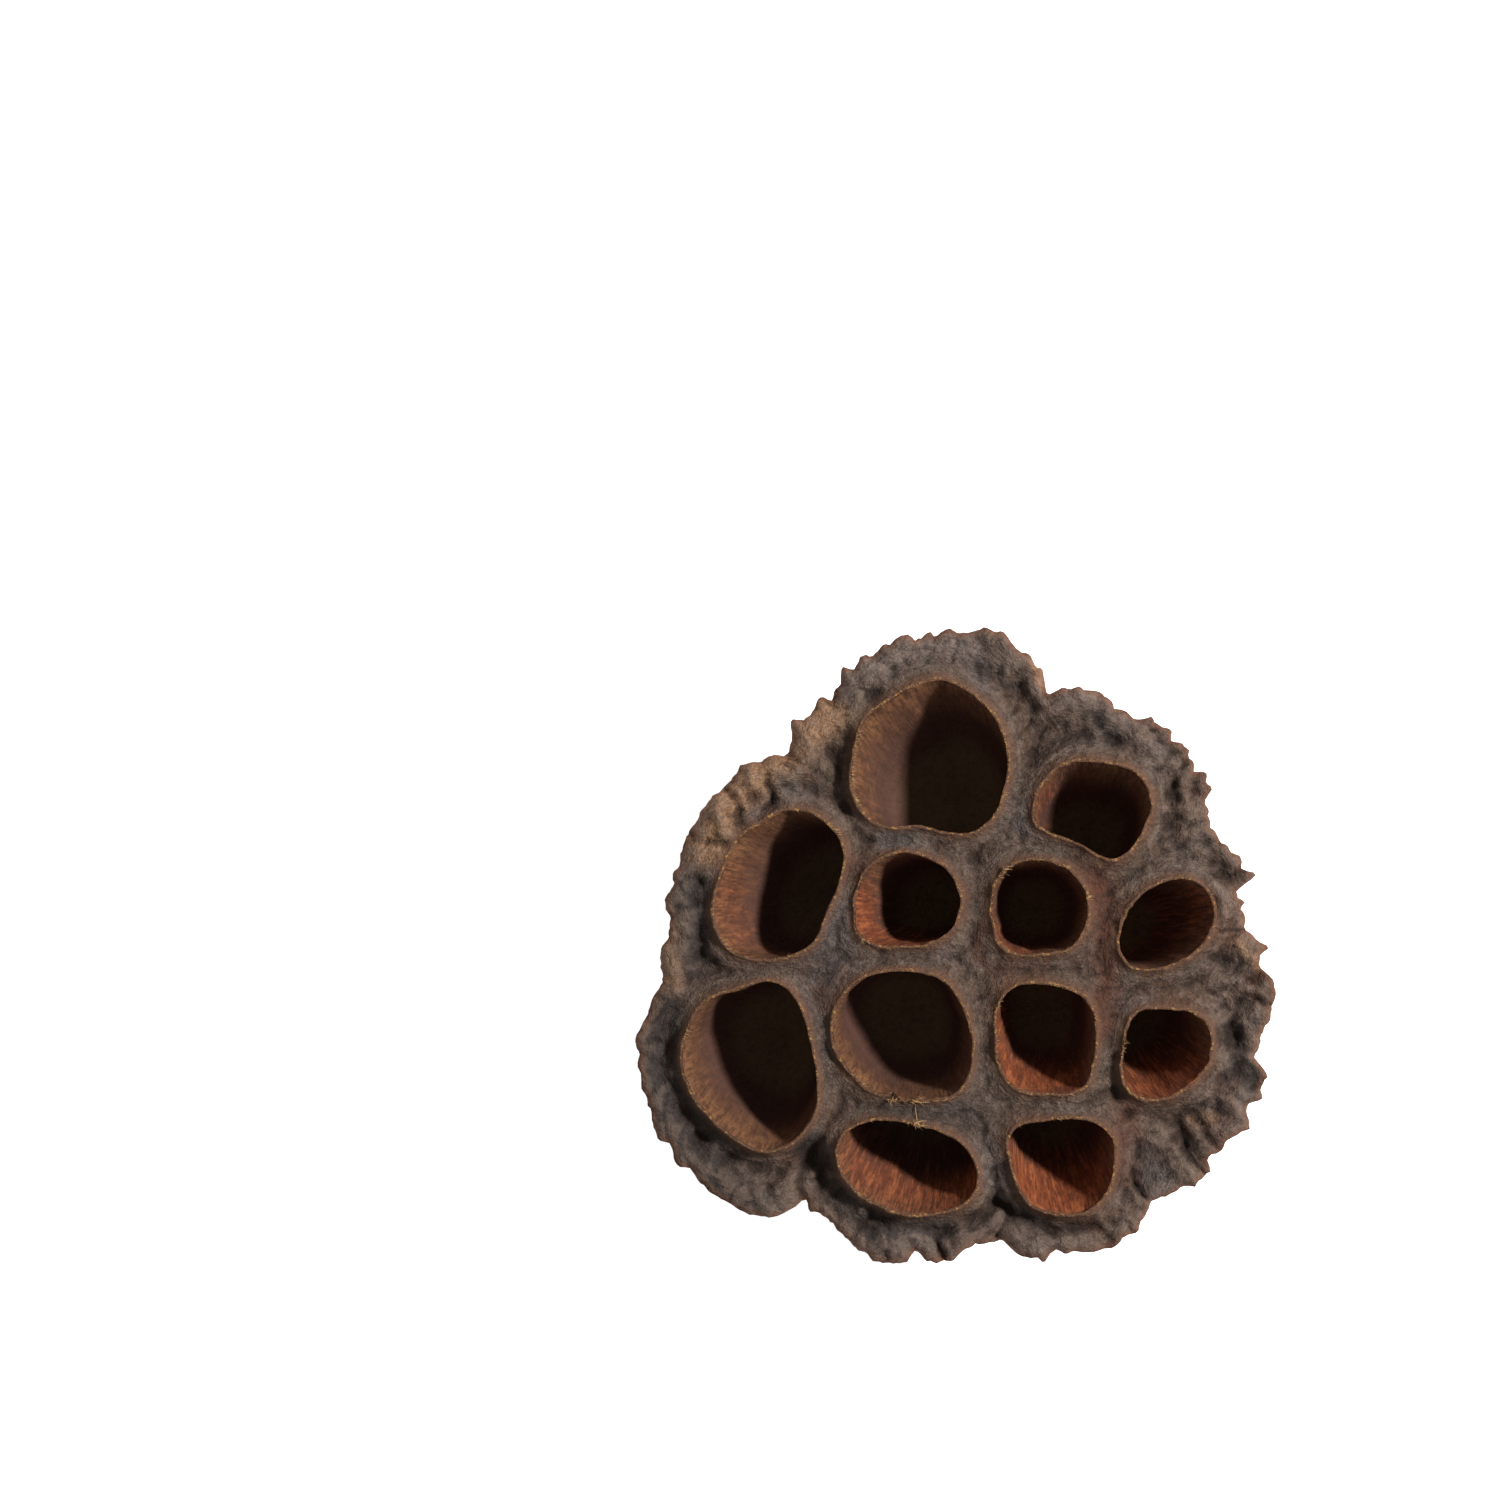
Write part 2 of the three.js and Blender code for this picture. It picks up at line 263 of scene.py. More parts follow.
# ---- Unevenness ----
def perlin(points, size, seed):
    """Smooth noise from -1 to 1, whose bumps are about size across."""
    shifted = np.asarray(points, float) / size + seed * 17.31
    return np.array([noise.noise(p) for p in shifted.tolist()])


def rough(points, size, seed, octaves=3):
    """Noise with finer noise on it, each layer half the size and half the height."""
    return sum(perlin(points, size / 2**k, seed + k) / 2**k for k in range(octaves))


def pillows(points, size, seed):
    """Rounded cushions between sharp creases, from -1 in a crease to 1."""
    return np.clip(np.abs(perlin(points, size, seed)) * 5 - 1, -1, 1)


def around_axis(angles, inward, stretch):
    """Places on a ring about the pod's axis, so that what is drawn on them runs inward."""
    ring = toward(angles) * MARGIN_MEAN
    return np.column_stack([ring, np.asarray(inward) / stretch * np.ones(len(ring))])


def tufted(flat, reach_mm):
    """How near each place is to a frayed tuft of a lip, up to 1."""
    away = [np.linalg.norm(flat - tuft, axis=1) for tuft in on_face(TUFTS)]
    return sum(hump(distance, reach_mm) for distance in away)


# ---- The pod's outlines ----
ANGLES = directions(ROUND_STEPS)
SIDE_LEVELS = [44.5, 43.2, 42.2, 40, 38.2, 35, 32.2, 29, 26.2, 22.5, 19.2, 16, 13.2, 10.5, 8.2, 6.2,
               4.5, 3.2, 1.9, 0.5]

SIDE_REACH = np.array([
    smoothed(reach(max(level_loops(height), key=area), 0, ANGLES), 70) for height in SIDE_LEVELS
])
STALK_RADIUS = SIDE_REACH[-1].mean()
MARGIN_SMOOTH = SIDE_REACH[0]
MARGIN_MEAN = MARGIN_SMOOTH.mean()
LOBES = MARGIN_SMOOTH - smoothed(MARGIN_SMOOTH, 9)  # bulges above 0, notches below


def crenulated(ring):
    """The margin with its small rounded bumps."""
    at = around_axis(ANGLES, 0, 1)
    busy = np.clip(0.8 + 0.8 * perlin(at, 13, 9), 0.62, 1.4)
    bumps = pillows(at, 4.6, 3) * 0.5 + pillows(at, 2.1, 5) * 0.35 + rough(at, 1.5, 8, 3) * 0.7
    teeth = np.clip(1 - 5 * np.abs(perlin(at, 5.5, 29)), 0, 1) * (0.55 + 0.45 * np.cos(ANGLES + 0.6))
    ring = ring + CRENULATION * (busy * (bumps - 0.25) + 1.5 * teeth)
    for (x, y), width, depth in NOTCHES:
        turn = np.angle(np.exp(1j * (ANGLES - math.atan2(y, x))))
        ring = ring - depth * hump(turn * MARGIN_MEAN, width)
    return ring


MARGIN = crenulated(MARGIN_SMOOTH)


class Cell:
    """One seed cell: its mouth's outline, and how the wall goes on down to the floor."""
    LEVELS = [45.6, 42.8, 41, 39, 37, 35, 33.6, 32, 30.5, 29.4, 28.6]

    def __init__(self, number, loops):
        self.number = number
        self.angles = directions(CELL_STEPS)
        self.centres = np.array([loop.mean(0) for loop in loops])
        self.radii = np.array([
            smoothed(reach(loop, centre, self.angles), 15)
            for loop, centre in zip(loops, self.centres)
        ])
        down = smoothstep(TOP, TOP - 13, np.array(self.LEVELS))[:, None]
        for middle, move in STRAIGHTER:
            if np.linalg.norm(self.centres[0] - on_face(middle)) < 4:
                self.centres = self.centres + down * move

    def wall(self, height):
        """The ring of the wall at a height."""
        centre = at_level(height, self.LEVELS, self.centres)
        return centre + at_level(height, self.LEVELS, self.radii)[:, None] * toward(self.angles)

    def noise_ring(self, down=0):
        """Places around the cell to read noise at, apart from those of the other cells."""
        return with_height(toward(self.angles) * 7, self.number * 9 + down / 7)

    def mouth(self, out=0):
        """The mouth's outline, moved outward."""
        ring = self.wall(TOP)
        along = np.roll(ring, -1, axis=0) - np.roll(ring, 1, axis=0)
        normal = np.column_stack([along[:, 1], -along[:, 0]])
        normal /= np.linalg.norm(normal, axis=1)[:, None]
        return ring + normal * np.reshape(out, (-1, 1))


def find_cells():
    """The holes of each level, matched from the lips downward by their nearest middles."""
    tracks = []
    for height in Cell.LEVELS:
        holes = [loop for loop in level_loops(height) if -600 < area(loop) < -3]
        if not tracks:
            holes.sort(key=lambda loop: (-loop[:, 1].mean(), loop[:, 0].mean()))
            tracks = [[hole] for hole in holes]
            continue
        for track in tracks:
            middle = track[-1].mean(0)
            track.append(min(holes, key=lambda loop: np.linalg.norm(loop.mean(0) - middle)))
    return [Cell(number, track) for number, track in enumerate(tracks)]


CELLS = find_cells()


def nearest(points, loops):
    """For each point, how far the nearest of each loop's points is: one column for a loop."""
    columns = []
    for loop in loops:
        tree = KDTree(len(loop))
        for i, (x, y) in enumerate(loop):
            tree.insert((x, y, 0), i)
        tree.balance()
        columns.append([tree.find((x, y, 0))[2] for x, y in points])
    return np.array(columns).T


def densely(loop, times=4):
    share = np.linspace(0, 1, times + 1)[:-1, None]
    nxt = np.roll(loop, -1, axis=0)
    return (loop[:, None] * (1 - share) + nxt[:, None] * share).reshape(-1, 2)


MARGIN_LOOP = MARGIN[:, None] * toward(ANGLES)
MOUTHS = [densely(cell.mouth()) for cell in CELLS]


# ---- The face ----
def along_strokes(points, strokes):
    """The sum of soft-edged strokes at each place, given as [line, half width, strength]."""
    total = np.zeros(len(points))
    flat = with_height(points, 0)
    places = points + 0.8 * np.column_stack([perlin(flat, 2.6, seed) for seed in (140, 141)])
    for line, width, strength in strokes:
        line = on_face(line)
        away = np.full(len(points), np.inf)
        for a, b in zip(line, line[1:]):
            share = np.clip((places - a) @ (b - a) / ((b - a) @ (b - a)), 0, 1)
            away = np.minimum(away, np.linalg.norm(places - a - share[:, None] * (b - a), axis=1))
        total += strength * hump(away, width)
    return total


def crumpled(angles, inward, flat):
    """Folds and creases that run in from the margin, mostly on the right."""
    wander = 1.2 * perlin(flat, 5, 15)
    at = around_axis(angles, inward, 1.5) + wander[:, None] * [1, 1, 0.6]
    worn_side = hump(angles - WORN_SIDE, WORN_SPREAD)
    strength = 0.42 + 0.4 * np.cos(angles + 0.4) + 0.5 * perlin(flat, 17, 17) + 0.5 * worn_side
    strength = np.clip(strength, 0.08, 1.1)
    ridges = np.clip(1 - 4 * np.abs(perlin(at, 6.6, 23)), 0, 1) ** 1.4
    creases = hump(perlin(at, 5.8, 13), 0.065) + 0.4 * hump(perlin(at, 3.1, 19), 0.08)
    folds = 0.7 * rough(at, 7.4, 11, 2) + 0.95 * ridges - 0.2
    return strength * (FOLD_HEIGHT * folds - CREASE_DEPTH * creases)


class Place:
    """What lies around each place of the face."""

    def __init__(self, points):
        self.points = points
        self.flat = with_height(points, 0)
        self.angles = polar(points)[0]
        self.to_cell = nearest(points, MOUTHS).min(1)
        self.to_margin = nearest(points, [densely(MARGIN_LOOP, 2)])[:, 0]
        # Noise read at these places is drawn out along the lips.
        wander = np.column_stack([perlin(self.flat, 2.8, 33 + k) for k in range(3)])
        self.contour = np.column_stack([points * 0.6, self.to_cell * 1.05]) + 0.5 * wander


def face_height(at):
    """How high the face lies at each place: webs sag between lips, folds cross the margin."""
    between = smoothstep(0.6, 3.4, at.to_cell)
    height = TOP - WEB_DROP - WEB_SAG * between
    outer = smoothstep(13, 7, at.to_margin) * smoothstep(1.2, 5, at.to_margin)
    height -= GUTTER_DROP * outer * smoothstep(0.8, 3.5, at.to_cell) * (0.8 + perlin(at.flat, 16, 5))
    turned_up = np.clip(0.6 + perlin(at.flat, 15, 2), 0.1, 1.3)
    height += RIM_RISE * turned_up * hump(at.to_margin - 2.3, 2.3)
    height -= EDGE_TURN * smoothstep(0.8, 0, at.to_margin)

    fading = smoothstep(11, 1.5, at.to_margin) * smoothstep(0.3, 2.4, at.to_cell)
    lobes = np.interp(at.angles, ANGLES, LOBES, period=math.tau)
    height += fading * 0.5 * np.clip(lobes, -1.6, 1.2) * np.exp(-at.to_margin / 5)
    height += fading * crumpled(at.angles, at.to_margin, at.flat)
    # The skin's own lumps, leathery wrinkles and pits.
    height += 0.34 * rough(at.flat, 5.2, 21, 2) * (0.35 + 0.65 * between)
    height += WRINKLE_HEIGHT * rough(at.contour, 1.7, 27, 2) * smoothstep(0.3, 1.2, at.to_cell)
    height -= 0.3 * hump(perlin(at.flat, 3.1, 25), 0.1) * (0.25 + 0.75 * between)
    height -= 0.3 * smoothstep(0.3, 0.6, perlin(at.flat, 3.6, 31)) * between
    return height - along_strokes(at.points, HOLLOWS) * smoothstep(0.1, 1.3, at.to_cell)


def within_margin(points, gap):
    """Whether each point lies inside the margin, by more than a gap."""
    angle, distance = polar(points)
    return distance < np.interp(angle, ANGLES, MARGIN, period=math.tau) - gap


def beyond(points, ring, gap):
    """Whether each point lies outside a ring, by more than a gap."""
    middle = ring.mean(0)
    angle, distance = polar(points - middle)
    return distance > np.interp(angle, *polar(ring - middle), period=math.tau) + gap


def sheet_points(holes):
    """Points of an even triangular lattice inside the margin and outside the lips."""
    reach_mm = CAD_HIGH[:2].max() + 1
    rows = np.arange(-reach_mm, reach_mm, SHEET_SPACING * math.sqrt(0.75))
    line = np.arange(-reach_mm, reach_mm, SHEET_SPACING)
    lattice = np.concatenate([
        np.column_stack([line + (k % 2) * SHEET_SPACING / 2, np.full(len(line), y)])
        for k, y in enumerate(rows)
    ])
    lattice += np.column_stack([
        perlin(with_height(lattice, k), 0.7, 40 + k) for k in range(2)
    ]) * SHEET_SPACING * 0.3
    lattice = lattice[within_margin(lattice, SHEET_SPACING * 0.7)]
    free = np.ones(len(lattice), bool)
    for hole in holes:
        free &= beyond(lattice, hole, SHEET_SPACING * 0.55)
    return lattice[free]


def collar_widths():
    """How far each lip's foot may reach out before it meets the next one's."""
    widths = []
    for k, cell in enumerate(CELLS):
        others = MOUTHS[:k] + MOUTHS[k + 1:] + [MARGIN_LOOP]
        gap = nearest(cell.mouth(), others).min(1)
        widths.append(smoothed(np.clip(gap * 0.36, 0.4, COLLAR), 12))
    return widths


class Surface:
    """Points and faces collected from every region, with what each point is near."""

    def __init__(self):
        self.points, self.faces, self.marks, self.count = [], [], [], 0

    def add(self, points, depth=0, lip=0, edge=0, grain=None):
        """Adds points and says how deep in a cell they are, and how near a lip or the edge."""
        n = len(points)
        grain = points if grain is None else grain
        self.points.append(points)
        self.marks.append(np.column_stack([
            np.broadcast_to(depth, n), np.broadcast_to(lip, n), np.broadcast_to(edge, n), grain,
        ]))
        first = self.count
        self.count += n
        return np.arange(first, first + n)

    def ring(self, last, points, *near):
        """Adds a closed ring of points, joined to the last one."""
        made = self.add(points, *near)
        self.faces.extend(zip(last, np.roll(last, -1), np.roll(made, -1), made))
        return made

    def tip(self, last, point, *near):
        """Closes the last ring with one point."""
        made = self.add(np.array([point]), *near)
        self.faces.extend((a, b, made[0]) for a, b in zip(last, np.roll(last, -1)))


def with_height(ring, height):
    return np.column_stack([ring, np.broadcast_to(height, len(ring))])


def add_sheet(surface, holes):
    """The face, from the margin to the feet of the lips. Returns its border rings and points."""
    edges, border = [], []
    rings = [MARGIN_LOOP] + holes
    for ring in rings:
        first = len(border)
        border.extend(ring)
        edges.extend((first + i, first + (i + 1) % len(ring)) for i in range(len(ring)))
    inner = sheet_points(holes)
    flat = np.vstack([np.array(border), inner])
    out, _, faces, origin, _, _ = delaunay_2d_cdt([tuple(p) for p in flat], edges, [], 0, 1e-7)
    made = np.array([tuple(p) for p in out])
    at = np.empty(len(flat), int)
    for new, olds in enumerate(origin):
        for old in olds:
            at[old] = new
    corners = made[np.array([f[:3] for f in faces])]
    middle = corners.mean(1)
    inside = within_margin(middle, 0)
    for hole in holes:
        inside &= beyond(middle, hole, -0.02)
    places = Place(made)
    points = with_height(made, face_height(places))
    index = surface.add(points, edge=np.exp(-places.to_margin / 0.7), grain=places.contour)
    surface.faces.extend(tuple(index[list(f)]) for f, keep in zip(faces, inside) if keep)
    borders, first = [], 0
    for ring in rings:
        borders.append(index[at[first:first + len(ring)]])
        first += len(ring)
    return borders, points


def add_cell(surface, cell, foot, foot_points, width):
    """A lip that stands up out of the face, and the cell inside it."""
    ring = cell.noise_ring()
    uneven = rough(ring, 3.2, 50, 3) * 0.55 + perlin(ring, 0.8, 55) * 0.45
    crest = TOP - 0.25 + LIP_RAGGED * uneven
    shift = 0.2 * perlin(ring, 2.2, 57) + 0.14 * perlin(ring, 0.8, 58)
    tufts = tufted(cell.mouth(), 1.1)
    crest += tufts * (0.3 + 0.5 * perlin(ring, 0.45, 52))
    shift -= tufts * (0.6 + 1.1 * perlin(ring, 0.6, 54))
    last = foot

    def add(flat, height, depth, lip):
        nonlocal last
        grain = Place(flat).contour if depth == 0 else cell.noise_ring(depth)
        last = surface.ring(last, with_height(flat, height), depth, lip, 0, grain)

    for share in (0.22, 0.42, 0.6, 0.76, 0.9):  # the lip's flared outer side
        out = width * (1 - share) + (2 * LIP_EDGE + shift) * share
        height = foot_points[:, 2] + (crest - 0.12 - foot_points[:, 2]) * share**1.55
        add(cell.mouth(out), height, 0, share * 0.75)
    add(cell.mouth(2 * LIP_EDGE + shift), crest - 0.06, 0, 0.85)
    add(cell.mouth(LIP_EDGE + shift), crest + 0.05 * perlin(ring, 0.5, 59), 0, 1)
    add(cell.mouth(shift * 0.7), crest - 0.1, 0.1, 0.95)
    for depth in WALL_DEPTHS:
        flat = cell.wall(TOP - depth)
        middle = flat.mean(0)
        away = flat - middle
        swell = 0.3 * smoothstep(0.5, 3, depth) * perlin(ring + [0, 0, depth / 9], 2.6, 61)
        fibre = 0.05 * perlin(ring, 0.42, 63) * smoothstep(5, 1.5, depth)
        scale = 1 + (swell + fibre + shift * math.exp(-depth)) / np.linalg.norm(away, axis=1)
        add(middle + away * scale[:, None], TOP - depth, depth, 0.9 * math.exp(-depth / 0.9))
    foot_ring = cell.wall(TOP - WALL_DEPTHS[-1])
    middle = foot_ring.mean(0)
    for share in (0.7, 0.4):
        inner = middle + (foot_ring - middle) * share
        add(inner, TOP - FLOOR_DEPTH - 0.3 * (1 - share), FLOOR_DEPTH, 0)
    surface.tip(last, [*middle, TOP - CELL_DEPTH], CELL_DEPTH, 0, 0, [[0, 0, cell.number * 9 + 2.5]])


def side_rings():
    """Heights of the rings from under the margin's edge down to the cut."""
    upper = [44.3, 43.9, 43.4, 42.8, 42, 41.1, 40.2, 39.3, 38.4, 37.5, 36.6, 35.6, 34.6, 33.5, 32.4]
    return upper + list(np.linspace(31.2, 2.6, 26)) + [1.8, 1.1, 0.6, 0.25, 0.05]


def side_folds(height):
    """How far the side stands out or in at a height: ribs that carry on the margin's folds."""
    ring = with_height(toward(ANGLES) * MARGIN_MEAN, height / 4)
    upper = smoothstep(6, 34, height)
    folds = crumpled(ANGLES, TOP - height, ring)
    ribs = perlin(around_axis(ANGLES, TOP - height, 16), 3.6, 71)
    ribs -= 0.9 * hump(perlin(around_axis(ANGLES, TOP - height, 9), 5, 73), 0.07)
    wrinkles = rough(around_axis(ANGLES, TOP - height, 1.6), 2.1, 75, 2)
    lumps = rough(around_axis(ANGLES, TOP - height, 1), 9, 79, 2)
    under = smoothstep(4, 12, height)
    return upper * 0.8 * folds + 0.65 * ribs * under + 0.2 * wrinkles + 0.6 * lumps * under


def canal_depth(flat):
    """How far up the stalk's air canals have opened at each place of the cut."""
    depth = np.zeros(len(flat))
    # Each ring of canals: how many, its first one's direction, its reach and their half width.
    for count, first, reach_share, wide_share in ((8, 0, 0.57, 0.125), (3, 0.4, 0.22, 0.08)):
        wide = STALK_RADIUS * wide_share
        for k in range(count):
            centre = toward(first + k * math.tau / count) * STALK_RADIUS * reach_share
            away = np.linalg.norm(flat - centre, axis=1)
            depth = np.maximum(depth, CANAL_DEPTH * smoothstep(wide * 1.15, wide * 0.7, away))
    return depth


def add_side(surface, border, edge_heights):
    """The margin's edge, the side, and the flat cut of the stalk."""
    last = border
    bumps = crenulated(np.zeros(ROUND_STEPS))
    for height in side_rings():
        below = EDGE_HEIGHT - height
        radius = at_level(height, SIDE_LEVELS, SIDE_REACH) + bumps * math.exp(-below / 1.6)
        radius += side_folds(height) * smoothstep(0, 1.2, below)
        radius = np.minimum(radius, MARGIN - 0.12 * min(max(below, 0), 4))
        ring = radius[:, None] * toward(ANGLES)
        wave = smoothstep(7, 0, below) * (edge_heights - EDGE_HEIGHT)
        last = surface.ring(last, with_height(ring, height + wave), 0, 0,
                            math.exp(-max(below, 0) / 0.5), around_axis(ANGLES, below, 6))
    for share in np.linspace(0.97, 0.05, 15):  # rings of the cut, towards its middle
        flat = ring * share
        last = surface.ring(last, with_height(flat, canal_depth(flat)), -1)
    surface.tip(last, [0, 0, 0], -1)


def grow_surface():
    """Every region of the pod, joined along its borders."""
    surface = Surface()
    widths = collar_widths()
    holes = [cell.mouth(width) for cell, width in zip(CELLS, widths)]
    (margin, *feet), sheet = add_sheet(surface, holes)
    for cell, foot, width in zip(CELLS, feet, widths):
        add_cell(surface, cell, foot, sheet[foot], width)
    add_side(surface, margin, sheet[margin, 2])
    return surface


def plain_mesh(name, surface):
    """The collected surface as one closed mesh that faces outward, and its marks."""
    used = np.unique([corner for face in surface.faces for corner in face])
    number = np.zeros(surface.count, int)
    number[used] = np.arange(len(used))
    points = np.vstack(surface.points)[used] * MM
    mesh = bpy.data.meshes.new(name)
    mesh.from_pydata(points.tolist(), [], [number[list(face)].tolist() for face in surface.faces])
    made = bmesh.new()
    made.from_mesh(mesh)
    bmesh.ops.recalc_face_normals(made, faces=made.faces)
    made.to_mesh(mesh)
    made.free()
    return mesh, np.vstack(surface.marks)[used]


def roughen(mesh, marks):
    """Fine relief along the normals: grainy skin outside, smoother walls in the cells."""
    co = read(mesh.vertices, "co", 3).astype(float) / MM
    skin = (marks[:, 0] <= 0.05) & (co[:, 2] > 0.3)
    amount = np.where(skin, 0.13, 0.03) * (co[:, 2] > 0.1)
    relief = amount * rough(co, 1.7, 91, 3)
    co += read(mesh.vertex_normals, "vector", 3) * relief[:, None]
    mesh.vertices.foreach_set("co", (co * MM).ravel())
    mesh.update()
    return co


def hollowness(mesh, co):
    """How far each point lies below its surroundings: above 0 in a crease, below 0 on a ridge."""
    a, b = read(mesh.edges, "vertices", 2, np.int32).T
    count = len(co)
    degree = np.bincount(a, minlength=count) + np.bincount(b, minlength=count)
    soft = co.copy()
    for _ in range(6):
        total = np.stack([
            np.bincount(a, soft[b, k], count) + np.bincount(b, soft[a, k], count) for k in range(3)
        ], 1)
        soft = total / degree[:, None]
    return ((soft - co) * read(mesh.vertex_normals, "vector", 3)).sum(1)


def set_attribute(mesh, name, values):
    kind = "FLOAT" if values.ndim == 1 else "FLOAT_VECTOR"
    made = mesh.attributes.new(name, kind, "POINT")
    made.data.foreach_set("value" if kind == "FLOAT" else "vector", values.astype(np.float32).ravel())


# ---- Materials ----
def colour(hex_value):
    """An sRGB hex colour as linear numbers."""
    parts = [int(hex_value[i:i + 2], 16) / 255 for i in (1, 3, 5)]
    return (*(p / 12.92 if p <= 0.04045 else ((p + 0.055) / 1.055) ** 2.4 for p in parts), 1)


def add_node(tree, kind, inputs=None, **settings):
    """One node. An input takes a value, an output, or a node, which stands for its first output."""
    made = tree.nodes.new(kind)
    for name, value in settings.items():
        setattr(made, name, value)
    for name, value in (inputs or {}).items():
        if isinstance(value, bpy.types.Node):
            value = value.outputs[0]
        if isinstance(value, bpy.types.NodeSocket):
            tree.links.new(value, made.inputs[name])
        else:
            made.inputs[name].default_value = value
    return made


def painted(node, m, base, layers):
    """Lays colours over a base, as [mask, where it starts, where it is full, share, colour]."""
    base = colour(base)
    for mask, start, full, share, tint in layers:
        amount = node("ShaderNodeMapRange",
                      {"Value": m[mask], "From Min": start, "From Max": full, "To Max": share})
        mixed = node("ShaderNodeMix", {0: amount, 6: base, 7: colour(tint)}, data_type="RGBA")
        base = mixed.outputs[2]
    return base


def masks(node, even, drawn_out, attributes):
    """Noises, each with its size in millimetres and its detail, and the mesh's attributes.

    Even noises are alike in every direction. The others are drawn out along the surface's grain.
    """
    place = node("ShaderNodeTexCoord").outputs["Object"]
    grain = node("ShaderNodeAttribute", attribute_name="grain").outputs["Vector"]
    found = {}
    for noises, vector, unit in ((even, place, MM), (drawn_out, grain, 1)):
        for name, (size, detail) in noises.items():
            found[name] = node("ShaderNodeTexNoise", {
                "Vector": vector, "Scale": 1 / (size * unit), "Detail": detail, "Roughness": 0.62,
            })
    for name in attributes:
        found[name] = node("ShaderNodeAttribute", attribute_name=name).outputs["Fac"]
    return found


def straw_glints(node, m):
    """The share that straw-coloured tips of torn fibres take of a lip."""
    return node("ShaderNodeMapRange",
                {"Value": m["glint"], "From Min": 0.54, "From Max": 0.66, "To Max": 0.8})


def finished(name, build, roughness, specular):
    """A material. Its build gives its colour, and bumps as [height, millimetres, strength]."""
    material = bpy.data.materials.new(name)
    material.use_nodes = True
    tree = material.node_tree
    tree.nodes.clear()
    node = partial(add_node, tree)
    base, bumps = build(node)
    normal = {}
    for height, distance, strength in bumps:
        relief = {"Height": height, "Distance": distance * MM, "Strength": strength}
        normal = {"Normal": node("ShaderNodeBump", {**relief, **normal})}
    look = {"Base Color": base, "Roughness": roughness, "Specular IOR Level": specular}
    shader = node("ShaderNodeBsdfPrincipled", {**look, **normal})
    node("ShaderNodeOutputMaterial", {"Surface": shader})
    return material


def husk(node):
    """Weathered receptacle skin: grey-brown, leathery, matt; dirt and painted shade in hollows, painted
    light on ridges.
    """
    even = {
        "cloud": (11, 3), "mottle": (6.5, 4), "warm": (8, 4), "fleck": (0.8, 5), "speck": (0.35, 3),
        "pore": (1.6, 4), "grit": (0.45, 4), "torn": (0.9, 2), "glint": (0.45, 2),
    }
    m = masks(node, even, {"streak": (0.9, 3), "crackle": (1.1, 4)},
              ["hollow", "edge", "lip", "rust", "worn", "gutter_shade", "pale", "low"])
    for name in ("crackle", "pore"):  # thin winding lines, where the noise crosses its middle
        offset = node("ShaderNodeMath", {0: m[name], 1: 0.5}, operation="SUBTRACT")
        m[name] = node("ShaderNodeMath", {0: offset}, operation="ABSOLUTE")
    base = painted(node, m, "#5f4d41", [
        ("mottle", 0.4, 0.62, 1, "#6a584c"),
        ("cloud", 0.5, 0.66, 0.8, "#625a57"),
        ("warm", 0.5, 0.66, 0.65, "#603f2c"),
        ("pale", 0.1, 1, 0.8, "#7c6e67"),
        ("streak", 0.45, 0.7, 0.45, "#3a2c25"),
        ("fleck", 0.52, 0.72, 0.45, "#8a7a6f"),
        ("rust", 0.15, 1, 0.75, "#5a3222"),
        ("worn", 0.15, 0.9, 0.9, "#9c7657"),
        # Painted shade over the gutters and creases that the last list of STAINS gives.
        ("gutter_shade", 0.1, 1, 0.8, "#3c3734"),
        ("crackle", 0.035, 0, 0.55, "#1f1713"),
        ("pore", 0.022, 0, 0.55, "#211915"),
        ("speck", 0.56, 0.72, 0.4, "#2e231e"),
        # Painted shade with some dirt: darker the further the face lies below the lips.
        ("low", 1.9, 4.2, 0.4, "#362a24"),
        # Painted shade with some dirt in the creases, then a painted highlight on the ridges.
        ("hollow", 0.03, 0.28, 0.7, "#201611"),
        ("hollow", -0.02, -0.2, 0.3, "#8b7566"),
        ("edge", 0.25, 0.9, 0.7, "#7a4d35"),
        ("lip", 0.15, 0.75, 0.8, "#6b4a36"),
        ("torn", 0.5, 0.64, 0.25, "#3c2a20"),
        ("lip", 0.74, 0.95, straw_glints(node, m), "#bd8c50"),
    ])
    return base, [(m["crackle"], 1.1, 0.8), (m["fleck"], 0.4, 0.8), (m["grit"], 0.2, 0.8)]


